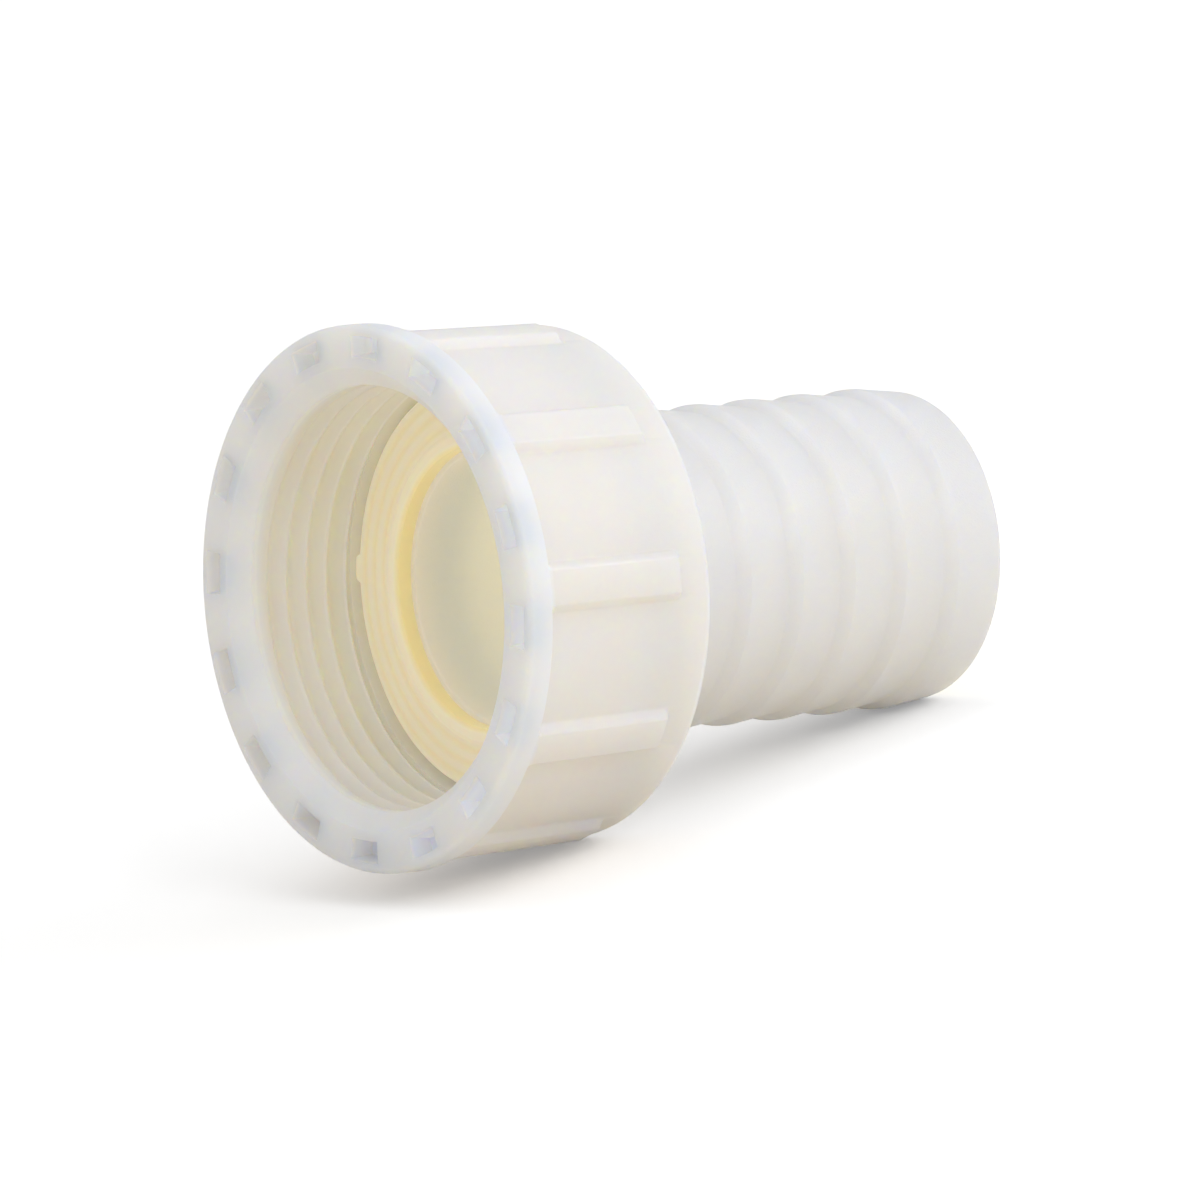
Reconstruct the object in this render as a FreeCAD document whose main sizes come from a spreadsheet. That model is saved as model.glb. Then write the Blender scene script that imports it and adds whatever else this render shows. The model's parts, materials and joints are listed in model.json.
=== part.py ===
import FreeCAD, Part
import os
import re

import Sketcher

# A barbed hose tail held by a swivelling union nut, with a flat sealing washer between them.
# Each piece is drawn about its own Z axis, from the mouth of the nut (Z = 0) towards the tail's tip,
# and is then laid down as the fitting rests: on the nut's rear edge and on the tip of the tail.
# Origin: the middle of the thread where it begins, just inside the nut's mouth. +X runs along the
# fitting, towards the tip. +Z is up.

doc = FreeCAD.newDocument("HoseTail")
sheet = doc.addObject("Spreadsheet::Sheet", "Sizes")

SIZES = [
    # Inner thread, one and a quarter inch parallel pipe size
    ("thread_pitch", 2.309),
    ("thread_crest", 19.8),
    ("thread_depth", 1.1),
    ("thread_length", 11.6),
    ("groove_mouth", 1.55),
    ("groove_root", 0.2),
    ("first_land", 1.56),
    ("groove_over", 0.3),
    # Nut
    ("lead_in", 1.8),
    ("lead_in_rise", 1.8),
    ("collar_wall", 3.9),
    ("collar_length", 2.55),
    ("collar_chamfer", 0.45),
    ("panel_inset", 1.1),
    ("panel_draft", 0.45),
    ("panel_step", 0.65),
    ("rib_count", 10),
    ("rib_inset", 0.2),
    ("rib_foot_width", 4.6),
    ("rib_top_width", 3.2),
    ("rib_setback", 4.4),
    ("rib_sunk", 0.8),
    ("foot_sunk", 0.1),
    ("collar_lap", 0.5),
    ("chamber_step", 0.3),
    ("back_wall", 3.8),
    ("back_chamfer", 0.8),
    ("hole_chamfer", 0.5),
    ("pocket_count", 16),
    ("pocket_margin", 1.0),
    ("pocket_angle", 9.6),
    ("pocket_turn", 4.7),
    ("pocket_depth", 2.2),
    ("pocket_draft", 6),
    # Washer
    ("washer_thick", 1.8),
    ("washer_inset", 0.1),
    ("washer_step", 0.5),
    ("bead_inset", 0.9),
    ("bead_width", 1.5),
    ("bead_rise", 0.25),
    ("tab_width", 2.5),
    ("tab_reach", 0.6),
    ("tab_turn", 4),
    # Hose tail
    ("flange_thick", 3.0),
    ("tail_wall", 1.8),
    ("neck_length", 11.3),
    ("barb_radius", 15.1),
    ("barb_height", 0.6),
    ("barb_count", 5),
    ("barb_pitch", 6.12),
    ("barb_rise", 1.3),
    ("barb_land", 0.5),
    ("barb_sunk", 0.4),
    ("nose_length", 5.9),
    ("nose_chamfer", 0.7),
    ("bore_chamfer", 0.3),
    # Clearances
    ("flange_clearance", 0.4),
    ("washer_gap", 0.2),
    ("barb_clearance", 0.15),
    ("hub_clearance", 0.6),
    ("end_play", 0.2),
]

for row, (alias, value) in enumerate(SIZES, start=1):
    sheet.set("A%d" % row, alias)
    sheet.set("B%d" % row, str(value))
    sheet.setAlias("B%d" % row, alias)
doc.recompute()


def size(alias):
    """The number that the sheet holds for one size."""
    return float(sheet.get(alias))


def linked(expression):
    """An expression in which each word that names a size points at its cell."""
    return re.sub(r"[a-z_]+", lambda word: ("Sizes." if word[0] in NAMES else "") + word[0], expression)


NAMES = {alias for alias, value in SIZES}

# Places that several pieces share, measured along the axis from the mouth of the nut.
THREAD_END = "( lead_in + thread_length )"
WASHER_FACE = "( " + THREAD_END + " + washer_gap )"
FLANGE_FACE = "( " + WASHER_FACE + " + washer_thick )"
FLANGE_BACK = "( " + FLANGE_FACE + " + flange_thick )"
SHOULDER = "( " + FLANGE_BACK + " + end_play )"
NUT_END = "( " + SHOULDER + " + back_wall )"
REAR_EDGE = "( " + NUT_END + " - back_chamfer )"
RIB_END = "( " + NUT_END + " - rib_setback )"
FIRST_BARB = "( " + NUT_END + " + neck_length )"
LAST_BARB = "( " + FIRST_BARB + " + ( barb_count - 1 ) * barb_pitch )"
TAIL_END = "( " + LAST_BARB + " + nose_length )"

# Radii that follow from others.
THREAD_ROOT = "( thread_crest + thread_depth )"
CHAMBER = "( thread_crest + chamber_step )"
MOUTH = "( thread_crest + lead_in_rise )"
COLLAR = "( " + MOUTH + " + collar_wall )"
PANEL_FRONT = "( " + COLLAR + " - panel_inset )"
PANEL_REAR = "( " + PANEL_FRONT + " - panel_draft )"
RIB_FRONT = "( " + COLLAR + " - rib_inset )"
RIB_REAR = "( " + RIB_FRONT + " - panel_draft )"
VALLEY = "( barb_radius - barb_height )"
BORE = "( " + VALLEY + " - tail_wall )"
FLANGE = "( thread_crest - flange_clearance )"
WASHER_OUTER = "( " + FLANGE + " - washer_inset )"
WASHER_INNER = "( " + BORE + " + washer_step )"
HOLE_RADIUS = "( barb_radius + barb_clearance )"
HUB_RADIUS = "( " + HOLE_RADIUS + " - hub_clearance )"


def value_of(expression):
    """The number that an expression in sizes comes to."""
    found = sheet.evalExpression(linked(expression))
    return float(getattr(found, "Value", found))


def plane_of(body, role):
    """One of a body's own origin planes or axes."""
    return next(item for item in body.Origin.OriginFeatures if item.Role == role)


def new_body(label):
    body = doc.addObject("PartDesign::Body", label)
    body.Label = label
    return body


def outline(body, name, role, corners, offset=None):
    """A closed sketch whose corners are each held at two expressions in sizes.

    An expression that starts with a minus sign puts its corner on the negative side.
    """
    sketch = body.newObject("Sketcher::SketchObject", name)
    sketch.AttachmentSupport = [(plane_of(body, role), "")]
    sketch.MapMode = "FlatFace"
    if offset is not None:
        sketch.setExpression("AttachmentOffset.Base.z", linked(offset))
    places = []
    for across, along in corners:
        pair = []
        for text in (across, along):
            sign = -1.0 if text.startswith("-") else 1.0
            pair.append(sign * value_of(text.lstrip("- ")))
        places.append(FreeCAD.Vector(pair[0], pair[1], 0))
    count = len(places)
    for index in range(count):
        sketch.addGeometry(Part.LineSegment(places[index], places[(index + 1) % count]), False)
    for index in range(count):
        sketch.addConstraint(Sketcher.Constraint("Coincident", index, 2, (index + 1) % count, 1))
    for index, (across, along) in enumerate(corners):
        held = (("DistanceX", across, places[index].x), ("DistanceY", along, places[index].y))
        for kind, text, place in held:
            if text == "0":
                flat = "PointOnObject"
                axis = -2 if kind == "DistanceX" else -1
                sketch.addConstraint(Sketcher.Constraint(flat, index, 1, axis))
                continue
            if text.startswith("-"):
                number = sketch.addConstraint(Sketcher.Constraint(kind, index, 1, -1, 1, abs(place)))
            else:
                number = sketch.addConstraint(Sketcher.Constraint(kind, -1, 1, index, 1, place))
            sketch.setExpression("Constraints[%d]" % number, linked(text.lstrip("- ")))
    doc.recompute()
    return sketch


def turned(body, kind, name, sketch):
    """A full turn of a sketch about the body's Z axis."""
    feature = body.newObject("PartDesign::" + kind, name)
    feature.Profile = sketch
    feature.ReferenceAxis = (plane_of(body, "Z_Axis"), [""])
    feature.Angle = 360
    doc.recompute()
    return feature


def polar(body, name, original, count):
    """Copies of a feature evenly round the body's Z axis."""
    pattern = body.newObject("PartDesign::PolarPattern", name)
    pattern.Originals = [original]
    pattern.Axis = (plane_of(body, "Z_Axis"), [""])
    pattern.Angle = 360
    pattern.setExpression("Occurrences", linked(count))
    body.Tip = pattern
    doc.recompute()
    return pattern


# Union nut: the turned form, with a lead-in, the plain crest of the thread, a chamber for the
# flange and a shoulder that pulls it forward.
nut = new_body("union_nut")
nut_outline = outline(nut, "NutOutline", "XZ_Plane", [
    (MOUTH, "0"),
    ("( " + COLLAR + " - collar_chamfer )", "0"),
    (COLLAR, "collar_chamfer"),
    (COLLAR, "collar_length"),
    (PANEL_FRONT, "( collar_length + panel_step )"),
    (PANEL_REAR, "( " + RIB_END + " + panel_step )"),
    (PANEL_REAR, REAR_EDGE),
    ("( " + PANEL_REAR + " - back_chamfer )", NUT_END),
    ("( " + HOLE_RADIUS + " + hole_chamfer )", NUT_END),
    (HOLE_RADIUS, "( " + NUT_END + " - hole_chamfer )"),
    (HOLE_RADIUS, SHOULDER),
    (CHAMBER, SHOULDER),
    (CHAMBER, THREAD_END),
    ("thread_crest", THREAD_END),
    ("thread_crest", "lead_in"),
])
turned(nut, "Revolution", "NutForm", nut_outline)

# Pockets in the mouth face, each a short drafted recess with radial ends.
before = nut.Shape.Volume
half = "( pocket_angle / 2 )"
pocket_corners = []
pocket_inner = "( " + MOUTH + " + pocket_margin )"
pocket_outer = "( " + COLLAR + " - pocket_margin )"
for radius, side in ((pocket_inner, "-"), (pocket_outer, "-"), (pocket_outer, "+"), (pocket_inner, "+")):
    turn = "( pocket_turn " + side + " " + half + " )"
    pocket_corners.append((radius, turn))


def polar_corner(radius, turn):
    """A corner at a radius and an angle in degrees, as two expressions."""
    across = "( " + radius + " * cos(" + turn + ") )"
    along = "( " + radius + " * sin(" + turn + ") )"
    if value_of(turn) < 0:
        along = "- ( 0 - " + radius + " * sin(" + turn + ") )"
    return across, along


pocket_outline = outline(nut, "PocketOutline", "XY_Plane", [polar_corner(*corner) for corner in pocket_corners])
pocket = nut.newObject("PartDesign::Pocket", "Pocket")
pocket.Profile = pocket_outline
pocket.setExpression("Length", linked("pocket_depth"))
pocket.setExpression("TaperAngle", linked("( 0 - pocket_draft )"))
pocket.Reversed = True
nut.Tip = pocket
doc.recompute()
if nut.Shape.Volume > before - 5:
    raise RuntimeError("the pocket cuts nothing")
polar(nut, "Pockets", pocket, "pocket_count")

# Grip ribs: each one is drawn as three sections, at the collar, at the end of its top and where
# its sloping end meets the panel. The first rib stands half a step away from straight down.
half_step = "( 180 / rib_count )"
rib_slope = "( ( rib_foot_width - rib_top_width ) / ( panel_inset - rib_inset ) )"
sunk_width = "( rib_foot_width + rib_sunk * " + rib_slope + " )"


def rib_section(name, panel, top, place):
    """A section across a rib, narrowing to its top and sunk a little into the panel below it."""
    foot = "( " + panel + " - rib_sunk )"
    corners = []
    for radius, width, side in ((foot, sunk_width, "-"), (top, "rib_top_width", "-"),
                                (top, "rib_top_width", "+"), (foot, sunk_width, "+")):
        turn = half_step
        across = "( " + radius + " * cos(" + turn + ") "
        across += ("+" if side == "-" else "-") + " " + width + " / 2 * sin(" + turn + ") )"
        along = "( " + radius + " * sin(" + turn + ") " + side + " " + width + " / 2 * cos(" + turn + ") )"
        corners.append((across, along))
    return outline(nut, name, "XY_Plane", corners, place)


rib = nut.newObject("PartDesign::AdditiveLoft", "Rib")
first_section = rib_section("RibAtCollar", PANEL_FRONT, RIB_FRONT, "( collar_length - collar_lap )")
foot_end = "( " + PANEL_REAR + " - foot_sunk )"
last_sections = [
    rib_section("RibTopEnd", PANEL_REAR, RIB_REAR, RIB_END),
    rib_section("RibFootEnd", PANEL_REAR, foot_end, "( " + RIB_END + " + panel_step )"),
]
rib.Profile = first_section
rib.Sections = last_sections
rib.Ruled = True
rib.Closed = False
nut.Tip = rib
doc.recompute()
polar(nut, "Ribs", rib, "rib_count")

# Thread: one groove cut along a right-hand helix. It starts on the plain land behind the lead-in
# and runs out into the flange chamber.
before = nut.Shape.Volume
groove_start = "( lead_in + first_land )"
flank = "( ( groove_mouth - groove_root ) / 2 )"
spread = "( groove_mouth / 2 + groove_over * " + flank + " / thread_depth )"
groove_outline = outline(nut, "GrooveOutline", "YZ_Plane", [
    ("- ( thread_crest - groove_over )", "( " + groove_start + " - " + spread + " )"),
    ("- " + THREAD_ROOT, "( " + groove_start + " - groove_root / 2 )"),
    ("- " + THREAD_ROOT, "( " + groove_start + " + groove_root / 2 )"),
    ("- ( thread_crest - groove_over )", "( " + groove_start + " + " + spread + " )"),
])
thread = nut.newObject("PartDesign::SubtractiveHelix", "Thread")
thread.Profile = groove_outline
thread.ReferenceAxis = (groove_outline, ["V_Axis"])
thread.Mode = 0
thread.setExpression("Pitch", linked("thread_pitch"))
thread.setExpression("Height", linked("( " + THREAD_END + " - " + groove_start + " )"))
thread.Angle = 0
thread.Growth = 0
thread.LeftHanded = False
thread.Reversed = False
nut.Tip = thread
doc.recompute()
if nut.Shape.Volume > before - 500:
    raise RuntimeError("the thread cuts too little")

# Hose tail: a tube with a flange, then the barb repeated along it, then the bore.
tail = new_body("hose_tail")
tail_outline = outline(tail, "TailOutline", "XZ_Plane", [
    (BORE, FLANGE_FACE),
    (FLANGE, FLANGE_FACE),
    (FLANGE, FLANGE_BACK),
    (HUB_RADIUS, FLANGE_BACK),
    (HUB_RADIUS, "( " + NUT_END + " + barb_pitch / 2 )"),
    (VALLEY, "( " + FIRST_BARB + " - barb_rise )"),
    (VALLEY, "( " + TAIL_END + " - nose_chamfer )"),
    ("( " + VALLEY + " - nose_chamfer )", TAIL_END),
    ("( " + BORE + " + bore_chamfer )", TAIL_END),
    (BORE, "( " + TAIL_END + " - bore_chamfer )"),
])
turned(tail, "Revolution", "TailForm", tail_outline)

# One barb: a steep rise that faces the nut, a narrow land and a long taper towards the tip.
barb_root = "( " + VALLEY + " - barb_sunk )"
barb_start = "( " + FIRST_BARB + " - barb_rise )"
barb_outline = outline(tail, "BarbOutline", "XZ_Plane", [
    (barb_root, barb_start),
    (VALLEY, barb_start),
    ("barb_radius", FIRST_BARB),
    ("barb_radius", "( " + FIRST_BARB + " + barb_land )"),
    (VALLEY, "( " + barb_start + " + barb_pitch )"),
    (barb_root, "( " + barb_start + " + barb_pitch )"),
])
barb = turned(tail, "Revolution", "Barb", barb_outline)
barbs = tail.newObject("PartDesign::LinearPattern", "Barbs")
barbs.Originals = [barb]
barbs.Direction = (plane_of(tail, "Z_Axis"), [""])
barbs.setExpression("Length", linked("( ( barb_count - 2 ) * barb_pitch )"))
barbs.setExpression("Occurrences", linked("( barb_count - 1 )"))
tail.Tip = barbs
doc.recompute()

# The last barb runs out into the nose.
nose_start = "( " + LAST_BARB + " - barb_rise )"
nose_stop = "( " + TAIL_END + " - nose_chamfer )"
nose_outline = outline(tail, "NoseOutline", "XZ_Plane", [
    (barb_root, nose_start),
    (VALLEY, nose_start),
    ("barb_radius", LAST_BARB),
    ("barb_radius", "( " + LAST_BARB + " + barb_land )"),
    (VALLEY, nose_stop),
    (barb_root, nose_stop),
])
turned(tail, "Revolution", "Nose", nose_outline)

# Sealing washer: a flat ring with a raised bead round its hole and a small moulding tab outside.
washer = new_body("sealing_washer")
bead_middle = "( " + WASHER_INNER + " + bead_inset )"
washer_flat = "( " + WASHER_FACE + " + bead_rise )"
washer_outline = outline(washer, "WasherOutline", "XZ_Plane", [
    (WASHER_INNER, washer_flat),
    ("( " + bead_middle + " - bead_width / 4 )", WASHER_FACE),
    ("( " + bead_middle + " + bead_width / 4 )", WASHER_FACE),
    ("( " + bead_middle + " + bead_width / 2 )", washer_flat),
    (WASHER_OUTER, washer_flat),
    (WASHER_OUTER, FLANGE_FACE),
    (WASHER_INNER, FLANGE_FACE),
])
turned(washer, "Revolution", "WasherForm", washer_outline)
tab_root = "( " + WASHER_OUTER + " - tab_width / 2 )"
tab_tip = "( " + WASHER_OUTER + " + tab_reach )"
tab_outline = outline(washer, "TabOutline", "XY_Plane", [
    ("( tab_width / 2 )", tab_root),
    ("( tab_width / 2 )", tab_tip),
    ("- ( tab_width / 2 )", tab_tip),
    ("- ( tab_width / 2 )", tab_root),
], washer_flat)
tab_outline.setExpression("AttachmentOffset.Rotation.Angle", "Sizes.tab_turn * 1 deg")
tab = washer.newObject("PartDesign::Pad", "Tab")
tab.Profile = tab_outline
tab.setExpression("Length", linked("( washer_thick - bead_rise )"))
washer.Tip = tab
doc.recompute()

# Resting tilt: the plane that touches the nut's rear edge and the tip.
drop = "( " + PANEL_REAR + " - " + VALLEY + " )"
span = "( " + nose_stop + " - " + REAR_EDGE + " )"
tilt = value_of("atan(" + drop + " / " + span + ")")
print("resting tilt %.4f degrees" % tilt)

laid_down = FreeCAD.Rotation(FreeCAD.Vector(0, 1, 0), 90 + tilt)
start = laid_down.multVec(FreeCAD.Vector(0, 0, -size("lead_in")))
pieces = [nut, tail, washer]
for body in pieces:
    body.Placement = FreeCAD.Placement(start, laid_down)
doc.recompute()

for item in doc.Objects:
    if "Invalid" in item.State or "Error" in item.State:
        raise RuntimeError("%s failed: %s" % (item.Name, item.State))
for body in pieces:
    if body.Shape.isNull() or not body.Shape.isValid():
        raise RuntimeError("%s has no valid shape" % body.Label)
    if len(body.Shape.Solids) != 1:
        raise RuntimeError("%s is %d solids" % (body.Label, len(body.Shape.Solids)))

os.makedirs("parts", exist_ok=True)
for body in pieces:
    body.Shape.exportStep("parts/%s.step" % body.Label)
    box = body.Shape.optimalBoundingBox(False)
    print("%s %.1f mm3, X %.2f to %.2f, Y %.2f to %.2f, Z %.2f to %.2f" % (
        body.Label, body.Shape.Volume, box.XMin, box.XMax, box.YMin, box.YMax, box.ZMin, box.ZMax))
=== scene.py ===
import json
import math

import bmesh
import bpy
import numpy as np
from mathutils import Matrix, Vector


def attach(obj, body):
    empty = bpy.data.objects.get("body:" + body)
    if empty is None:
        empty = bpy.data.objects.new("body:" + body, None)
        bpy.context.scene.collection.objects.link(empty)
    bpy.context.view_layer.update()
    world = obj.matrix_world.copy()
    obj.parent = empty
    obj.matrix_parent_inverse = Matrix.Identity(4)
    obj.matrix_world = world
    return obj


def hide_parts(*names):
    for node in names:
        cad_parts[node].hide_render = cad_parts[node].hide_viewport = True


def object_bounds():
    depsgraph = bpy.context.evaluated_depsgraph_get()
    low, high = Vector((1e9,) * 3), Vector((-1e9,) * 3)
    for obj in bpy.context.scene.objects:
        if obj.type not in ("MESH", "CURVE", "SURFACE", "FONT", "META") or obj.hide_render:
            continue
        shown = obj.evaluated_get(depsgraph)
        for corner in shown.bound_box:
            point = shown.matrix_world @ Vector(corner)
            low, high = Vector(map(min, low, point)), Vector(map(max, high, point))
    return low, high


# The finish of a barbed hose tail with its union nut and its sealing washer, lying on a pale floor.
# Everything is in metres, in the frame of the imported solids. Each piece is turned about the
# fitting's axis from places along it, measured from the mouth of the nut.

bl_info = {
    "name": "Hose Tail with Union Nut",
    "version": (1, 0, 0),
    "blender": (4, 5, 0),
    "location": "3D View > Sidebar > Hose Tail",
    "description": "Builds a barbed hose tail, its union nut and its sealing washer",
    "category": "Add Mesh",
}

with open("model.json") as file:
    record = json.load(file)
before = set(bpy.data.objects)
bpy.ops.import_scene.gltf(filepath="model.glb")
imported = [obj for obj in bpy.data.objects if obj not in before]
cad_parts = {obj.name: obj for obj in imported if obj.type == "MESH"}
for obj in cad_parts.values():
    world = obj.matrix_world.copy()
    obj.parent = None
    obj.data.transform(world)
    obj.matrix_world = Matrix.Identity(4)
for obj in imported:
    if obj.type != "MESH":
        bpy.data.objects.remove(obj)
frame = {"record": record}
CAD_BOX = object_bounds()
MM = 0.001

MOUNTS = {mount["name"]: mount for mount in frame["record"]["mounts"]}
THREAD = MOUNTS["pipe_thread"]["dims"]
BARBS = MOUNTS["hose_barbs"]["dims"]
BORE = MOUNTS["flow_bore"]["dims"]

# Directions across the axis: DOWN is the zero of every angle round it, and SIDE is a quarter on.
AXIS = Vector(MOUNTS["hose_barbs"]["axis"]).normalized()
SIDE = Vector((0, 1, 0))
DOWN = SIDE.cross(AXIS)


def length(name, millimetres, description):
    """A size that a user may change."""
    return bpy.props.FloatProperty(
        name=name, description=description, default=millimetres * MM,
        min=0, precision=5, subtype="DISTANCE", unit="LENGTH")


def turn(name, degrees, description):
    """An angle that a user may change."""
    return bpy.props.FloatProperty(
        name=name, description=description, default=math.radians(degrees),
        subtype="ANGLE", unit="ROTATION")


def share(name, value, description):
    """A number between nothing and all."""
    return bpy.props.FloatProperty(
        name=name, description=description, default=value, min=0, max=1, subtype="FACTOR")


def number(name, value, description):
    """How many there are of something."""
    return bpy.props.IntProperty(name=name, description=description, default=value, min=1)


def colour(name, value, description):
    """A colour in linear light."""
    return bpy.props.FloatVectorProperty(
        name=name, description=description, default=value, size=3, min=0, max=1, subtype="COLOR")


class HoseTailNutSizes(bpy.types.PropertyGroup):
    """Sizes of the union nut"""
    thread_crest: length("Thread crest", THREAD["r_mm"], "Radius across the crests of the inner thread")
    thread_length: length("Thread length", THREAD["length_mm"], "Length of the inner thread")
    thread_pitch: length("Thread pitch", 2.309, "Distance from one turn of the thread to the next")
    thread_depth: length("Thread depth", 1.15, "Depth of the thread's groove")
    groove_mouth: length("Groove mouth", 2.0, "Width of the groove at the crest")
    groove_root: length("Groove root", 0.4, "Width of the groove at its root")
    groove_round: length("Groove rounding", 0.16, "Softness of the crests and the roots")
    first_land: length("First land", 1.56, "Plain length before the first turn's middle")
    thread_start: turn("Thread start", 270, "Where the groove begins, round the axis")
    lead_in: length("Lead-in", 1.8, "Length of the cone in front of the thread")
    lead_in_rise: length("Lead-in rise", 1.7, "How far the cone opens towards the mouth")
    collar_wall: length("Collar wall", 3.99, "Width of the mouth's face")
    collar_length: length("Collar length", 2.55, "Length of the plain collar")
    collar_round: length("Collar round", 0.6, "Rounding of the collar's front edge")
    panel_inset: length("Panel inset", 1.1, "How far the panels lie under the collar")
    panel_draft: length("Panel draft", 0.45, "How much the panels narrow towards the back")
    panel_step: length("Panel step", 0.65, "Length of the slope behind the collar and the ribs")
    rib_count: number("Ribs", 10, "Number of grip ribs")
    rib_turn: turn("Rib turn", 14.6, "Where the first rib stands")
    rib_inset: length("Rib inset", 0.2, "How far the ribs lie under the collar")
    rib_foot: length("Rib foot", 4.6, "Width of a rib at its foot")
    rib_top: length("Rib top", 3.2, "Width of a rib at its top")
    rib_end: length("Rib end", 18.0, "Where a rib's top ends")
    chamber_step: length("Chamber step", 0.3, "How much wider than the crests the flange's chamber is")
    back: length("Back", 22.4, "Where the nut ends")
    back_wall: length("Back wall", 3.8, "Thickness of the wall behind the flange")
    back_round: length("Back round", 0.95, "Rounding of the rear edge")
    hole_radius: length("Hole radius", 15.25, "Radius of the hole in the back wall")
    hole_chamfer: length("Hole chamfer", 0.5, "Bevel of that hole")
    pocket_count: number("Pockets", 16, "Number of pockets in the mouth's face")
    pocket_margin: length("Pocket margin", 1.0, "Face left inside and outside a pocket")
    pocket_angle: turn("Pocket angle", 9.6, "Width of a pocket round the axis")
    pocket_turn: turn("Pocket turn", 4.7, "Where the first pocket stands")
    pocket_depth: length("Pocket depth", 2.2, "Depth of a pocket")
    pocket_draft: turn("Pocket draft", 6, "Slope of a pocket's walls")
    edge: length("Edge", 0.22, "Softness of the small edges")


class HoseTailTailSizes(bpy.types.PropertyGroup):
    """Sizes of the hose tail"""
    bore_radius: length("Bore radius", BORE["r_mm"], "Radius of the bore")
    barb_radius: length("Barb radius", BARBS["r_mm"], "Radius across the barbs")
    barb_height: length("Barb height", 0.6, "Height of a barb above the valley before it")
    barb_count: number("Barbs", 5, "Number of barbs")
    barb_pitch: length("Barb pitch", 6.12, "Distance from one barb to the next")
    barb_first: length("First barb", 33.7, "Where the first barb's land begins")
    barb_rise: length("Barb rise", 1.3, "Length of a barb's steep side")
    barb_land: length("Barb land", 0.5, "Length of a barb's land")
    nose_length: length("Nose length", 5.9, "Length from the last barb to the tip")
    tip_radius: length("Tip radius", 14.42, "Radius that the tail narrows to at its tip")
    nose_round: length("Nose round", 1.0, "Rounding of the tip")
    bore_chamfer: length("Bore chamfer", 0.3, "Bevel of the bore at the tip")
    flange_face: length("Flange face", 15.4, "Where the flange begins")
    flange_thick: length("Flange thickness", 3.0, "Thickness of the flange")
    flange_radius: length("Flange radius", 19.4, "Radius of the flange")
    hub_radius: length("Hub radius", 14.65, "Radius of the tail where the nut turns on it")
    hub_end: length("Hub end", 25.46, "Where the hub starts to narrow")


class HoseTailWasherSizes(bpy.types.PropertyGroup):
    """Sizes of the sealing washer"""
    face: length("Face", 13.6, "Where the washer's bead begins")
    thickness: length("Thickness", 1.8, "Thickness of the washer at its bead")
    outer: length("Outer radius", 19.3, "Outer radius of the washer")
    inner: length("Inner radius", 13.2, "Radius of the washer's hole")
    bead_inset: length("Bead inset", 0.9, "Distance of the bead's middle from the hole")
    bead_width: length("Bead width", 1.5, "Width of the raised bead round the hole")
    bead_rise: length("Bead rise", 0.25, "Height of the bead")
    groove_count: number("Grooves", 3, "Number of fine grooves in the washer's face")
    groove_inset: length("Groove inset", 1.0, "Distance of the first groove from the rim")
    groove_gap: length("Groove gap", 1.4, "Distance from one groove to the next")
    groove_half: length("Groove half width", 0.36, "Half the width of a groove")
    groove_depth: length("Groove depth", 0.08, "Depth of a groove")
    tab_width: length("Tab width", 2.7, "Width of the moulding tab")
    tab_reach: length("Tab reach", 0.6, "How far the tab stands out")
    tab_turn: turn("Tab turn", 94, "Where the tab stands round the axis")


class HoseTailFinish(bpy.types.PropertyGroup):
    """Colours of the three plastics, and the light and shade painted into them"""
    nut_panel: colour("Nut panels", (0.84, 0.815, 0.82), "Natural polypropylene of the nut's panels")
    # Painted highlight: the collar and the rear edge are lighter and cooler than the panels.
    nut_edge_highlight: colour("Nut edges", (0.87, 0.885, 0.945), "The same at the collar and the rear edge")
    # Painted light: the mouth's face and the lead-in are lighter than the panels.
    face: colour("Face", (0.935, 0.95, 0.96), "The same on the mouth's face")
    # Painted shade: a bluish grey in the pockets.
    pocket: colour("Pockets", (0.80, 0.86, 0.96), "The same in the pockets")
    # Painted shade: darker and warmer towards the back of the thread.
    inside: colour("Inside", (0.765, 0.765, 0.695), "The same at the back of the thread")
    # Painted highlight: the thread's crests are lighter than the inside around them.
    crest: colour("Crests", (0.82, 0.82, 0.77), "The same on the thread's crests")
    glow: share("Glow", 0.10, "Light that comes through the nut's wall to the thread")
    pocket_glow: share("Pocket glow", 0.10, "Light that comes through to the pockets on the lit side")
    tail: colour("Tail", (0.74, 0.762, 0.82), "Natural polypropylene of the tail")
    # Painted shade: darker and bluer towards the tip.
    tip: colour("Tip", (0.705, 0.74, 0.825), "The same at the tip")
    # Painted light: the warm tint of light that bounces inside the bore.
    bore: colour("Bore", (0.80, 0.77, 0.665), "The same in the bore")
    bore_glow: share("Bore glow", 0.185, "Light that comes through the tail's wall to the bore")
    washer: colour("Washer", (0.985, 0.83, 0.64), "Straw-yellow elastomer of the washer")
    # Painted shade: a deeper yellow in the washer's fine grooves.
    washer_groove_shade: colour("Washer grooves", (0.97, 0.80, 0.56), "The same in the washer's fine grooves")
    # Painted shade: a deeper yellow in the washer's hole.
    washer_hole_shade: colour("Washer hole", (0.95, 0.76, 0.42), "The same in the washer's hole")
    washer_glow: share("Washer glow", 0.22, "Light that comes through the flange to the washer")


class HoseTailStage(bpy.types.PropertyGroup):
    """The camera and the light"""
    view_turn: turn("View turn", 53.0, "Angle between the line of sight and the fitting's axis")
    axis_rise: turn("Axis rise", 5.86, "How steeply the axis rises in the picture")
    spin: turn("Spin", 88.6, "Where the fitting's upper side stands round the axis, in the picture")
    distance: length("Distance", 2000, "Distance of the camera from the nut's mouth")
    day: share("Day", 0.61, "Strength of the light from all round")
    lamp: share("Lamp", 1.0, "Strength of the softboxes")


# Meshes

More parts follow.
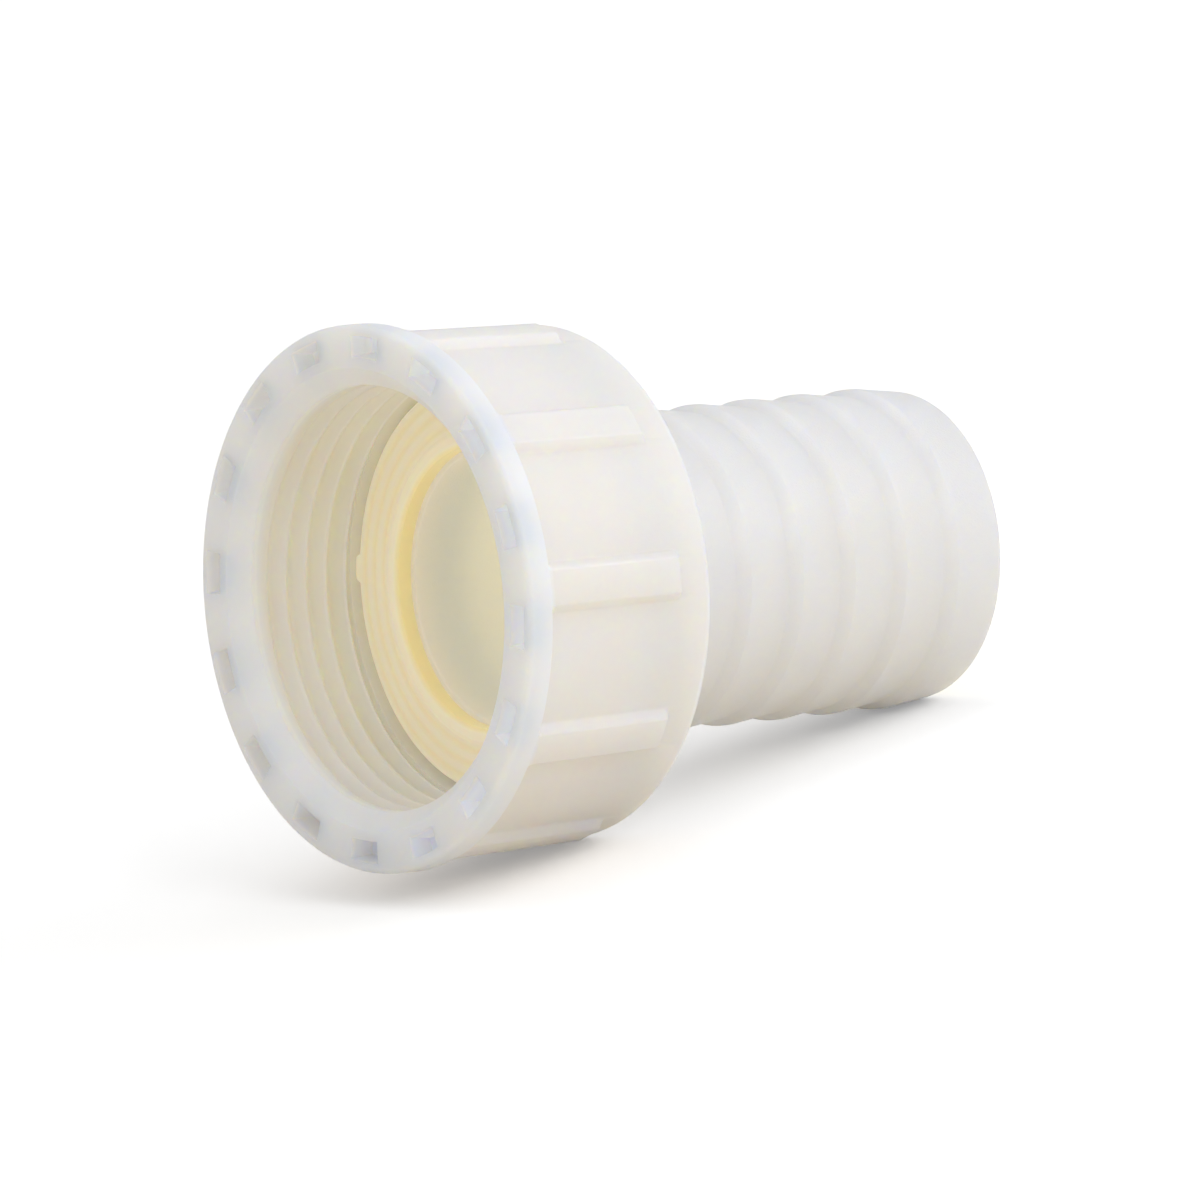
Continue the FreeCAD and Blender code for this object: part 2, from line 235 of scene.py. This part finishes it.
def softened(corners):
    """A closed outline of places along the axis and radii, each corner rounded as it says."""
    points = []
    count = len(corners)
    for index, (along, radius, rounding) in enumerate(corners):
        corner = Vector((along, radius))
        if rounding == 0:
            points.append(corner)
            continue
        before = (Vector(corners[index - 1][:2]) - corner).normalized()
        after = (Vector(corners[(index + 1) % count][:2]) - corner).normalized()
        between = before.angle(after)
        centre = corner + (before + after).normalized() * rounding / math.sin(between / 2)
        first = corner + before * rounding / math.tan(between / 2) - centre
        last = corner + after * rounding / math.tan(between / 2) - centre
        swept = math.pi - between
        steps = max(2, round(swept / math.radians(14)))
        for step in range(steps + 1):
            at = step / steps
            ray = first * math.sin((1 - at) * swept) + last * math.sin(at * swept)
            points.append(centre + ray / math.sin(swept))
    return np.array(points)


def skin(name, along, radius, angles, mouth):
    """A closed mesh from rows of places and radii, one column for each angle."""
    rows, columns = along.shape
    axis, down, side = (np.array(direction) for direction in (AXIS, DOWN, SIDE))
    rays = np.outer(np.cos(angles), down) + np.outer(np.sin(angles), side)
    points = np.array(mouth) + along[..., None] * axis + radius[..., None] * rays[None]
    first = np.arange(rows)[:, None] * columns + np.arange(columns - 1)[None]
    after = np.roll(first, -1, axis=0)
    faces = np.stack([first, first + 1, after + 1, after], axis=-1).reshape(-1, 4)
    mesh = bpy.data.meshes.new(name)
    mesh.from_pydata(points.reshape(-1, 3).tolist(), [], faces.tolist())
    work = bmesh.new()
    work.from_mesh(mesh)
    bmesh.ops.remove_doubles(work, verts=work.verts, dist=1e-6)
    bmesh.ops.recalc_face_normals(work, faces=work.faces)
    for face in work.faces:
        face.smooth = True
    work.to_mesh(mesh)
    work.free()
    mesh.set_sharp_from_angle(angle=math.radians(38))
    piece = bpy.data.objects.new(name, mesh)
    bpy.context.scene.collection.objects.link(piece)
    return piece


def round_steps(count):
    """Angles of a full turn, with the last one on the first."""
    return np.linspace(0, math.tau, count + 1)


def lathed(name, outline, angles, mouth):
    """A piece turned from one outline."""
    ones = np.ones(len(angles))
    return skin(name, np.outer(outline[:, 0], ones), np.outer(outline[:, 1], ones), angles, mouth)


def ramp(distance, width, softness):
    """A slope from 0 to 1 over a width, with its two bends softened."""
    def bend(x):
        inside = np.clip((x + softness) / (2 * softness), 0, 1)
        return np.where(x > softness, x, softness * inside ** 2)
    return np.clip((bend(distance) - bend(distance - width)) / width, 0, 1)


def from_nearest(angles, first, count):
    """The angle of each place from the nearest of some evenly spread ones."""
    step = math.tau / count
    return (angles - first + step / 2) % step - step / 2


def mouth_centre():
    """The middle of the nut's mouth."""
    return AXIS * -bpy.context.scene.hose_tail_nut.lead_in


# Materials

def nodes_of(name):
    """A new material with its tree and its main shader."""
    material = bpy.data.materials.new(name)
    material.use_nodes = True
    tree = material.node_tree
    return material, tree, tree.nodes["Principled BSDF"]


def noise(tree, scale, detail, place):
    """Noise at a scale in turns a metre."""
    node = tree.nodes.new("ShaderNodeTexNoise")
    node.inputs["Scale"].default_value = scale
    node.inputs["Detail"].default_value = detail
    tree.links.new(place.outputs["Object"], node.inputs["Vector"])
    return node


def mapped(tree, value, first, last, low=0, high=1):
    """A number that goes from low to high while another goes from first to last."""
    node = tree.nodes.new("ShaderNodeMapRange")
    node.inputs["From Min"].default_value = first
    node.inputs["From Max"].default_value = last
    node.inputs["To Min"].default_value = low
    node.inputs["To Max"].default_value = high
    tree.links.new(value, node.inputs["Value"])
    return node.outputs["Result"]


def both(tree, first, second):
    """The product of two masks."""
    node = tree.nodes.new("ShaderNodeMath")
    node.operation = "MULTIPLY"
    tree.links.new(first, node.inputs[0])
    tree.links.new(second, node.inputs[1])
    return node.outputs["Value"]


def layer(tree, under, over, mask):
    """A colour laid over another where a mask lets it through."""
    node = tree.nodes.new("ShaderNodeMix")
    node.data_type = "RGBA"
    for socket, paint in (("A", under), ("B", over)):
        if isinstance(paint, bpy.types.NodeSocket):
            tree.links.new(paint, node.inputs[socket])
        else:
            node.inputs[socket].default_value = (*paint, 1)
    tree.links.new(mask, node.inputs["Factor"])
    return node.outputs["Result"]


def vector_math(tree, operation, place, direction, output):
    """What a place and a direction come to."""
    node = tree.nodes.new("ShaderNodeVectorMath")
    node.operation = operation
    tree.links.new(place.outputs["Object"], node.inputs[0])
    node.inputs[1].default_value = direction
    return node.outputs[output]


def measured(tree, place):
    """A place's distance from the start of the thread along the axis, and its radius."""
    along = vector_math(tree, "DOT_PRODUCT", place, AXIS, "Value")
    across = vector_math(tree, "CROSS_PRODUCT", place, AXIS, "Vector")
    radius = tree.nodes.new("ShaderNodeVectorMath")
    radius.operation = "LENGTH"
    tree.links.new(across, radius.inputs[0])
    return along, radius.outputs["Value"]


def moulded(name, painted, depth, gloss, grain):
    """A milky moulded plastic: light enters it, and its skin has a fine grain and faint flow marks."""
    material, tree, shader = nodes_of(name)
    place = tree.nodes.new("ShaderNodeTexCoord")
    cloud = noise(tree, 90, 3, place)
    fine = noise(tree, 5200, 2, place)
    waves = noise(tree, 420, 3, place)

    paint, glow = painted(tree, place)
    tint = layer(tree, (1, 1, 1), (0.985, 0.975, 0.95), mapped(tree, cloud.outputs["Fac"], 0.3, 0.7))
    mottled = tree.nodes.new("ShaderNodeMix")
    mottled.data_type = "RGBA"
    mottled.blend_type = "MULTIPLY"
    mottled.inputs["Factor"].default_value = 1.0
    tree.links.new(paint, mottled.inputs["A"])
    tree.links.new(tint, mottled.inputs["B"])
    tree.links.new(mottled.outputs["Result"], shader.inputs["Base Color"])
    shine = mapped(tree, waves.outputs["Fac"], 0.3, 0.7, gloss - 0.05, gloss + 0.07)
    tree.links.new(shine, shader.inputs["Roughness"])
    tree.links.new(paint, shader.inputs["Emission Color"])
    if isinstance(glow, bpy.types.NodeSocket):
        tree.links.new(glow, shader.inputs["Emission Strength"])
    else:
        shader.inputs["Emission Strength"].default_value = glow

    skin_bump = tree.nodes.new("ShaderNodeBump")
    skin_bump.inputs["Strength"].default_value = grain
    skin_bump.inputs["Distance"].default_value = 0.04 * MM
    tree.links.new(fine.outputs["Fac"], skin_bump.inputs["Height"])
    flow_bump = tree.nodes.new("ShaderNodeBump")
    flow_bump.inputs["Strength"].default_value = 0.25
    flow_bump.inputs["Distance"].default_value = 0.1 * MM
    tree.links.new(waves.outputs["Fac"], flow_bump.inputs["Height"])
    tree.links.new(skin_bump.outputs["Normal"], flow_bump.inputs["Normal"])
    tree.links.new(flow_bump.outputs["Normal"], shader.inputs["Normal"])

    shader.inputs["IOR"].default_value = 1.49
    shader.inputs["Subsurface Weight"].default_value = 1.0
    shader.inputs["Subsurface Radius"].default_value = depth
    shader.inputs["Subsurface Scale"].default_value = 1.0
    return material


def nut_paint(tree, place):
    """Beige panels, with a painted highlight at the collar and the rear edge, painted light on the face and
    the lead-in, painted bluish shade in the pockets, painted shade inside that is darker and warmer the
    deeper it lies, painted highlights on the thread's crests, and a glow.
    """
    s = bpy.context.scene.hose_tail_nut
    finish = bpy.context.scene.hose_tail_finish
    along, radius = measured(tree, place)
    mouth = s.thread_crest + s.lead_in_rise
    collar = mouth + s.collar_wall
    sharp = 0.1 * MM
    # The panels, with a painted highlight, lighter and cooler, at the collar and the rear edge, and painted
    # light on the face.
    front = s.collar_length - s.lead_in
    paint = layer(tree, finish.nut_panel, finish.nut_edge_highlight, mapped(tree, along, front + s.panel_step, front))
    back = s.back - s.lead_in
    rear = back - s.back_round
    paint = layer(tree, paint, finish.nut_edge_highlight, mapped(tree, along, rear, rear + 5 * sharp))
    paint = layer(tree, paint, finish.face, mapped(tree, along, 6 * sharp - s.lead_in, sharp - s.lead_in))
    # The pockets, between the face and their floors, take a painted bluish shade.
    inner = mouth + s.pocket_margin
    outer = collar - s.pocket_margin
    floor = s.pocket_depth - s.lead_in
    ring = both(tree, mapped(tree, radius, inner, inner + sharp), mapped(tree, radius, outer, outer - sharp))
    sunk = both(tree, mapped(tree, along, sharp - s.lead_in, 5 * sharp - s.lead_in),
                mapped(tree, along, floor + 2 * sharp, floor + sharp))
    sunk = both(tree, sunk, ring)
    paint = layer(tree, paint, finish.pocket, sunk)
    # The inside as far as the rear wall, with painted shade that is darker and warmer deeper in, painted
    # light on the lead-in and painted highlights on the thread's crests.
    inside = mapped(tree, radius, mouth + sharp, mouth - 2 * sharp)
    deep = both(tree, inside, mapped(tree, along, -s.lead_in, s.thread_length))
    deep = both(tree, deep, mapped(tree, along, back - 4 * sharp, back - 9 * sharp))
    paint = layer(tree, paint, finish.inside, deep)
    cone = both(tree, inside, mapped(tree, along, 7 * sharp, 4 * sharp))
    paint = layer(tree, paint, finish.face, cone)
    # Painted highlight: the crests are lighter than the thread around them.
    crest = s.thread_crest + 0.4 * sharp
    crest = both(tree, mapped(tree, radius, crest + 0.8 * sharp, crest), deep)
    paint = layer(tree, paint, finish.crest, crest)
    # The glow of the thread, and of the pockets on the side of the lamps.
    aside = vector_math(tree, "DOT_PRODUCT", place, SIDE, "Value")
    lit = both(tree, sunk, mapped(tree, aside, 0.25 * collar, -0.5 * collar))
    glow = tree.nodes.new("ShaderNodeMath")
    glow.operation = "ADD"
    tree.links.new(mapped(tree, deep, 0, 1, 0, finish.glow), glow.inputs[0])
    tree.links.new(mapped(tree, lit, 0, 1, 0, finish.pocket_glow), glow.inputs[1])
    return paint, glow.outputs["Value"]


def tail_paint(tree, place):
    """Neutral outside, with painted shade, darker and bluer, towards the tip, and a painted warm light in the
    bore.
    """
    s = bpy.context.scene.hose_tail_tail
    finish = bpy.context.scene.hose_tail_finish
    along, radius = measured(tree, place)
    # Painted light: a warm tint in the bore.
    inside = mapped(tree, radius, s.bore_radius + 1.2 * MM, s.bore_radius + 0.8 * MM)
    first = s.barb_first - bpy.context.scene.hose_tail_nut.lead_in
    last = first + (s.barb_count - 1) * s.barb_pitch
    # Painted shade: darker and bluer towards the tip.
    tip_shade = mapped(tree, along, (first + last) / 2, last + s.nose_length)
    outside = layer(tree, finish.tail, finish.tip, tip_shade)
    return layer(tree, outside, finish.bore, inside), mapped(tree, inside, 0, 1, 0, finish.bore_glow)


def washer_paint(tree, place):
    """Straw yellow, with painted shade, a deeper yellow, in the fine grooves and in the hole."""
    s = bpy.context.scene.hose_tail_washer
    finish = bpy.context.scene.hose_tail_finish
    radius = measured(tree, place)[1]
    first = s.outer - s.groove_inset
    last = first - (s.groove_count - 1) * s.groove_gap
    phase = mapped(tree, radius, first - s.groove_gap, first, 0, math.tau)
    phase.node.clamp = False
    wave = tree.nodes.new("ShaderNodeMath")
    wave.operation = "COSINE"
    tree.links.new(phase, wave.inputs[0])
    ridged = both(tree, mapped(tree, radius, last - s.groove_gap / 2, last - s.groove_gap / 4),
                  mapped(tree, radius, first + s.groove_gap / 2, first + s.groove_gap / 4))
    grooves = both(tree, mapped(tree, wave.outputs["Value"], -0.8, 1), ridged)
    # Painted shade: a deeper yellow in the fine grooves.
    paint = layer(tree, finish.washer, finish.washer_groove_shade, grooves)
    # Painted shade: a deeper yellow at the hole.
    hole = mapped(tree, radius, s.inner + 0.5 * MM, s.inner + 0.05 * MM)
    paint = layer(tree, paint, finish.washer_hole_shade, hole)
    return paint, finish.washer_glow


def dressed(piece, material, node, body):
    """The piece takes its material, stands for its solid and moves with its body."""
    piece.data.materials.append(material)
    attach(piece, body)
    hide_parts(node)
    return piece


# Operators

class HOSETAIL_OT_nut(bpy.types.Operator):
    """Builds the union nut with its thread, pockets and ribs"""
    bl_idname = "hosetail.nut"
    bl_label = "Build the Nut"

    def execute(self, context):
        s = context.scene.hose_tail_nut
        mouth = s.thread_crest + s.lead_in_rise
        collar = mouth + s.collar_wall
        panel_front = collar - s.panel_inset
        panel_rear = panel_front - s.panel_draft
        thread_end = s.lead_in + s.thread_length
        chamber = s.thread_crest + s.chamber_step
        shoulder = s.back - s.back_wall
        angles = self.columns(s, collar)
        rows_along = []
        rows_radius = []

        def add(along, radius):
            rows_along.append(np.broadcast_to(along, angles.shape))
            rows_radius.append(np.broadcast_to(radius, angles.shape))

        # The mouth's face, from its inner edge outwards, with the pockets sunk into it.
        for radius in self.face_rows(s, mouth, collar):
            add(self.pocket(s, radius, angles, mouth, collar), radius)
        # The outline of the collar, the panels, the rounded back and the chamber.
        outside = softened([
            (0, mouth, 0),
            (0, collar, s.collar_round),
            (s.collar_length, collar, s.edge),
            (s.collar_length + s.panel_step, panel_front, s.edge),
            (s.rib_end + s.panel_step, panel_rear, 0),
            (s.back, panel_rear, s.back_round),
            (s.back, s.hole_radius + s.hole_chamfer, s.edge / 2),
            (s.back - s.hole_chamfer, s.hole_radius, s.edge / 2),
            (shoulder, s.hole_radius, s.edge / 2),
            (shoulder, chamber, s.edge / 2),
            (thread_end, chamber, 0),
        ])[1:]
        # Rows along the panels, closer together at the ribs' ends.
        even = np.linspace(s.collar_length + s.panel_step + 2 * s.edge, s.rib_end - s.edge, 7)
        near_end = s.rib_end + np.array([-0.1, 0, 0.1, 0.25, 0.4, 0.5, 0.57]) * MM
        on_panel = np.concatenate([even, near_end])
        slope = (panel_rear - panel_front) / (s.rib_end - s.collar_length)
        added = False
        for along, radius in outside:
            if not added and along > s.rib_end:
                for place in on_panel:
                    base = panel_front + slope * (place - s.collar_length - s.panel_step)
                    add(place, self.rib(s, place, base, angles, collar))
                added = True
            if s.collar_length < along < s.back - s.back_round - s.edge and radius > panel_rear - s.edge:
                radius = self.rib(s, along, radius, angles, collar)
            add(along, radius)
        # The thread, from its inner end to the plain land behind the lead-in.
        for along in self.thread_rows(s, angles, thread_end):
            add(along, self.groove(s, along, angles))
        # The lead-in cone, up to the mouth's rounded inner edge.
        inner = softened([(s.lead_in, s.thread_crest, 0), (0, mouth, s.edge), (0, collar, 0)])
        for along, radius in inner[1:-1]:
            add(along, radius)

        piece = skin("nut", np.array(rows_along), np.array(rows_radius), angles, mouth_centre())
        material = moulded("nut_plastic", nut_paint, depth=(0.012, 0.009, 0.005), gloss=0.44, grain=0.25)
        dressed(piece, material, "union_nut", "nut")
        return {"FINISHED"}

    def columns(self, s, collar):
        """Angles of a full turn, closer together at the ribs' sides and the pockets' ends."""
        found = [round_steps(160)]
        foot = s.rib_foot / 2 / collar
        top = s.rib_top / 2 / collar
        rise = np.array([foot * 1.12, foot * 1.04, foot, foot * 0.94,
                         (foot + top) / 2, top * 1.06, top, top * 0.92])
        end = s.pocket_angle / 2
        wall = s.pocket_depth * math.tan(s.pocket_draft) / (collar - s.collar_wall / 2)
        drop = np.array([end * 1.05, end * 1.01, end * 0.985,
                         end - wall * 0.5, end - wall, end - wall * 1.25])
        for first, count, offsets in ((s.rib_turn, s.rib_count, rise),
                                      (s.pocket_turn, s.pocket_count, drop)):
            for index in range(count):
                middle = first + index * math.tau / count
                found.append((middle + offsets) % math.tau)
                found.append((middle - offsets) % math.tau)
        places = np.sort(np.concatenate(found))
        keep = np.concatenate([[True], np.diff(places) > 1e-4])
        places = places[keep]
        places[-1] = math.tau
        return places

    def face_rows(self, s, mouth, collar):
        """Radii of the rows across the mouth's face."""
        inner = mouth + s.pocket_margin
        outer = collar - s.pocket_margin
        wall = s.pocket_depth * math.tan(s.pocket_draft)
        steps = np.array([-0.1 * MM, -0.03 * MM, 0.03 * MM, wall * 0.5, wall, wall * 1.3])
        return [mouth + 0.5 * s.pocket_margin, *(inner + steps), (inner + outer) / 2, *(outer - steps[::-1])]

    def pocket(self, s, radius, angles, mouth, collar):
        """How deep the face lies at one radius, for each angle."""
        wall = s.pocket_depth * math.tan(s.pocket_draft)
        soft = 0.05 * MM
        off = np.abs(from_nearest(angles, s.pocket_turn, s.pocket_count))
        ends = ramp((s.pocket_angle / 2 - off) * radius, wall, soft)
        inner = ramp(radius - mouth - s.pocket_margin, wall, soft)
        outer = ramp(collar - s.pocket_margin - radius, wall, soft)
        return s.pocket_depth * np.minimum(ends, np.minimum(inner, outer))

    def rib(self, s, along, base, angles, collar):
        """The radius outside the nut at one place along it, ribs included."""
        top = collar - s.rib_inset - s.panel_draft * (along - s.collar_length) / (s.rib_end - s.collar_length)
        off = np.abs(from_nearest(angles, s.rib_turn, s.rib_count)) * base
        side = ramp(s.rib_foot / 2 - off, (s.rib_foot - s.rib_top) / 2, 0.12 * MM)
        end = ramp(s.rib_end + s.panel_step - along, s.panel_step, 0.08 * MM)
        return base + np.maximum(top - base, 0) * side * end

    def thread_rows(self, s, angles, thread_end):
        """Places along the thread that follow its turns, from the back to the lead-in."""
        half = s.thread_pitch / 2
        mouth = s.groove_mouth / 2
        root = s.groove_root / 2
        # Rows closer together at the groove's four bends.
        rise = np.array([-half, -mouth - 0.08 * MM, -mouth, -mouth + 0.1 * MM, -mouth + 0.2 * MM,
                         -(mouth + root) / 2, -root - 0.15 * MM, -root, -root + 0.12 * MM])
        offsets = np.concatenate([rise, [0], -rise[:0:-1]])
        turned = (angles - s.thread_start) / math.tau
        turns = math.ceil(s.thread_length / s.thread_pitch) + 1
        rows = []
        for index in range(turns, -2, -1):
            for offset in offsets[::-1]:
                along = s.lead_in + s.first_land + s.thread_pitch * (turned + index) + offset
                rows.append(np.clip(along, s.lead_in, thread_end))
        return rows

    def groove(self, s, along, angles):
        """The radius of the thread at one row."""
        turned = (angles - s.thread_start) / math.tau
        place = (along - s.lead_in - s.first_land) / s.thread_pitch - turned
        nearest = np.round(place)
        off = np.abs(place - nearest) * s.thread_pitch
        depth = ramp(s.groove_mouth / 2 - off, (s.groove_mouth - s.groove_root) / 2, s.groove_round)
        run_in = ramp(nearest + turned, 0.06, 0.01)
        return s.thread_crest + s.thread_depth * depth * run_in


class HOSETAIL_OT_tail(bpy.types.Operator):
    """Builds the hose tail with its flange, barbs and rounded tip"""
    bl_idname = "hosetail.tail"
    bl_label = "Build the Hose Tail"

    def execute(self, context):
        s = context.scene.hose_tail_tail
        valley = s.barb_radius - s.barb_height
        tip = s.barb_first + (s.barb_count - 1) * s.barb_pitch + s.nose_length
        corners = [
            (s.flange_face, s.bore_radius, 0.2 * MM),
            (s.flange_face, s.flange_radius, 0.3 * MM),
            (s.flange_face + s.flange_thick, s.flange_radius, 0.3 * MM),
            (s.flange_face + s.flange_thick, s.hub_radius, 0.3 * MM),
            (s.hub_end, s.hub_radius, 0.5 * MM),
        ]
        for index in range(s.barb_count):
            crest = s.barb_first + index * s.barb_pitch
            corners += [
                (crest - s.barb_rise, valley, 0.6 * MM),
                (crest, s.barb_radius, 0.35 * MM),
                (crest + s.barb_land, s.barb_radius, 0.5 * MM),
            ]
        corners += [
            (tip, s.tip_radius, s.nose_round),
            (tip, s.bore_radius + s.bore_chamfer, 0.12 * MM),
            (tip - s.bore_chamfer, s.bore_radius, 0.12 * MM),
        ]
        piece = lathed("tail", softened(corners), round_steps(256), mouth_centre())
        material = moulded("tail_plastic", tail_paint, depth=(0.010, 0.008, 0.005), gloss=0.33, grain=0.8)
        dressed(piece, material, "hose_tail", "tail")
        return {"FINISHED"}


class HOSETAIL_OT_washer(bpy.types.Operator):
    """Builds the sealing washer with its fine grooves, bead and moulding tab"""
    bl_idname = "hosetail.washer"
    bl_label = "Build the Washer"

    def execute(self, context):
        s = context.scene.hose_tail_washer
        flat = s.face + s.bead_rise
        middle = s.inner + s.bead_inset
        corners = [
            (s.face + s.thickness, s.inner, 0.1 * MM),
            (flat, s.inner, 0.15 * MM),
            (s.face, middle - s.bead_width / 4, 0.4 * MM),
            (s.face, middle + s.bead_width / 4, 0.4 * MM),
            (flat, middle + s.bead_width / 2, 0.1 * MM),
        ]
        for index in reversed(range(s.groove_count)):
            groove = s.outer - s.groove_inset - index * s.groove_gap
            corners += [
                (flat, groove - s.groove_half, 0.3 * MM),
                (flat + s.groove_depth, groove, 0.4 * MM),
                (flat, groove + s.groove_half, 0.3 * MM),
            ]
        corners += [
            (flat, s.outer, 0.3 * MM),
            (s.face + s.thickness, s.outer, 0.15 * MM),
        ]
        outline = softened(corners)
        half = s.tab_width / 2 / s.outer
        fine = s.tab_turn + np.linspace(-1.3, 1.3, 27) * half
        angles = np.sort(np.concatenate([round_steps(224), fine]))
        along = np.outer(outline[:, 0], np.ones(len(angles)))
        radius = np.outer(outline[:, 1], np.ones(len(angles)))
        edge = outline[:, 1] > s.outer - 0.35 * MM
        off = np.abs(angles - s.tab_turn) * s.outer
        radius[edge] += s.tab_reach * ramp(s.tab_width / 2 - off, 0.3 * MM, 0.1 * MM)
        piece = skin("washer", along, radius, angles, mouth_centre())
        depth = (0.003, 0.002, 0.001)
        material = moulded("washer_elastomer", washer_paint, depth=depth, gloss=0.34, grain=0.15)
        dressed(piece, material, "sealing_washer", "tail")
        return {"FINISHED"}


class HOSETAIL_OT_stage(bpy.types.Operator):
    """Sets the camera, the floor and the light"""
    bl_idname = "hosetail.stage"
    bl_label = "Set the Stage"

    def execute(self, context):
        s = context.scene.hose_tail_stage
        self.camera(context, s)
        self.floor(s)
        self.daylight(context, s)
        self.softboxes(s)
        context.scene.view_settings.view_transform = "Standard"
        # A pixel is finished once its noise is under this share, so the milky walls don't take too long.
        context.scene.cycles.adaptive_threshold = 0.15
        return {"FINISHED"}

    def camera(self, context, s):
        """A long lens, turned and rolled so that the fitting lies in the picture as in the photograph."""
        picture = 1200
        mouth_pixel = (363.8, 599.9)
        pixels_a_metre = 10820
        axis = Vector((math.sin(s.view_turn) * math.cos(s.axis_rise),
                       math.sin(s.view_turn) * math.sin(s.axis_rise),
                       -math.cos(s.view_turn)))
        up = Vector((0, 1, 0))
        up = (up - axis * up.dot(axis)).normalized()
        near = axis.cross(up)
        upper = up * math.sin(s.spin) + near * math.cos(s.spin)
        flank = near * math.sin(s.spin) - up * math.cos(s.spin)
        seen = Matrix((axis, -flank, upper)).transposed()
        real = Matrix((AXIS, SIDE, -DOWN)).transposed()
        turned = real @ seen.transposed()
        ahead = Vector((mouth_pixel[0] - picture / 2, picture / 2 - mouth_pixel[1], 0)) / pixels_a_metre
        ahead.z = -s.distance
        data = bpy.data.cameras.new("camera")
        data.sensor_width = 36
        data.lens = pixels_a_metre * s.distance * data.sensor_width / picture
        data.clip_start = 0.1
        data.clip_end = 20
        holder = bpy.data.objects.new("camera", data)
        holder.matrix_world = turned.to_4x4()
        holder.location = mouth_centre() - turned @ ahead
        context.scene.collection.objects.link(holder)
        context.scene.camera = holder

    def floor(self, s):
        """A pale floor that shows white and keeps the fitting's shadow."""
        size = 3.0
        height = CAD_BOX[0].z
        mesh = bpy.data.meshes.new("floor")
        corners = [(-size, -size, height), (size, -size, height), (size, size, height), (-size, size, height)]
        mesh.from_pydata(corners, [], [(0, 1, 2, 3)])
        piece = bpy.data.objects.new("floor", mesh)
        bpy.context.scene.collection.objects.link(piece)
        material, tree, shader = nodes_of("floor_white")
        shader.inputs["Roughness"].default_value = 0.9
        shader.inputs["Specular IOR Level"].default_value = 0
        path = tree.nodes.new("ShaderNodeLightPath")
        seen = path.outputs["Is Camera Ray"]
        for ray in ("Is Glossy Ray", "Is Transmission Ray"):
            either = tree.nodes.new("ShaderNodeMath")
            either.operation = "MAXIMUM"
            tree.links.new(seen, either.inputs[0])
            tree.links.new(path.outputs[ray], either.inputs[1])
            seen = either.outputs["Value"]
        warm = (0.84, 0.775, 0.66)
        white = (0.98, 0.98, 0.98)
        tree.links.new(layer(tree, warm, white, seen), shader.inputs["Base Color"])
        tree.links.new(mapped(tree, seen, 0, 1, 0, 0.25), shader.inputs["Emission Strength"])
        shader.inputs["Emission Color"].default_value = (1, 1, 1, 1)
        mesh.materials.append(material)

    def daylight(self, context, s):
        """An even white light from all round."""
        world = bpy.data.worlds.new("daylight")
        world.use_nodes = True
        background = world.node_tree.nodes["Background"]
        background.inputs["Color"].default_value = (1, 1, 1, 1)
        background.inputs["Strength"].default_value = s.day
        context.scene.world = world

    def softboxes(self, s):
        """Large soft lamps above and beside the fitting."""
        middle = (CAD_BOX[0] + CAD_BOX[1]) / 2
        boxes = (
            ("front", Vector((-0.12, -1.0, 0.5)), 0.5, 0.17),
            ("above", Vector((0.15, 0.2, 1.2)), 0.9, 0.115),
            ("beside", Vector((0.8, -0.85, 0.6)), 1.0, 0.25),
        )
        for name, place, size, strength in boxes:
            data = bpy.data.lights.new(name, "AREA")
            data.shape = "DISK"
            data.size = size
            data.energy = math.pi ** 2 * s.lamp * strength * place.length_squared
            holder = bpy.data.objects.new(name, data)
            holder.location = middle + place
            holder.rotation_euler = (-place).to_track_quat("-Z", "Y").to_euler()
            bpy.context.scene.collection.objects.link(holder)


class HOSETAIL_PT_panel(bpy.types.Panel):
    """Lists the steps that build the fitting"""
    bl_idname = "HOSETAIL_PT_panel"
    bl_label = "Hose Tail"
    bl_space_type = "VIEW_3D"
    bl_region_type = "UI"
    bl_category = "Hose Tail"

    def draw(self, context):
        column = self.layout.column()
        for operator in OPERATORS:
            column.operator(operator.bl_idname)


GROUPS = {
    "hose_tail_nut": HoseTailNutSizes,
    "hose_tail_tail": HoseTailTailSizes,
    "hose_tail_washer": HoseTailWasherSizes,
    "hose_tail_finish": HoseTailFinish,
    "hose_tail_stage": HoseTailStage,
}
OPERATORS = (HOSETAIL_OT_stage, HOSETAIL_OT_nut, HOSETAIL_OT_tail, HOSETAIL_OT_washer)


def register():
    for name, group in GROUPS.items():
        bpy.utils.register_class(group)
        setattr(bpy.types.Scene, name, bpy.props.PointerProperty(type=group))
    for operator in OPERATORS:
        bpy.utils.register_class(operator)
    bpy.utils.register_class(HOSETAIL_PT_panel)


def unregister():
    bpy.utils.unregister_class(HOSETAIL_PT_panel)
    for operator in reversed(OPERATORS):
        bpy.utils.unregister_class(operator)
    for name, group in reversed(GROUPS.items()):
        delattr(bpy.types.Scene, name)
        bpy.utils.unregister_class(group)


def main():
    register()
    bpy.ops.hosetail.stage()
    bpy.ops.hosetail.nut()
    bpy.ops.hosetail.tail()
    bpy.ops.hosetail.washer()


if __name__ == "__main__":
    main()
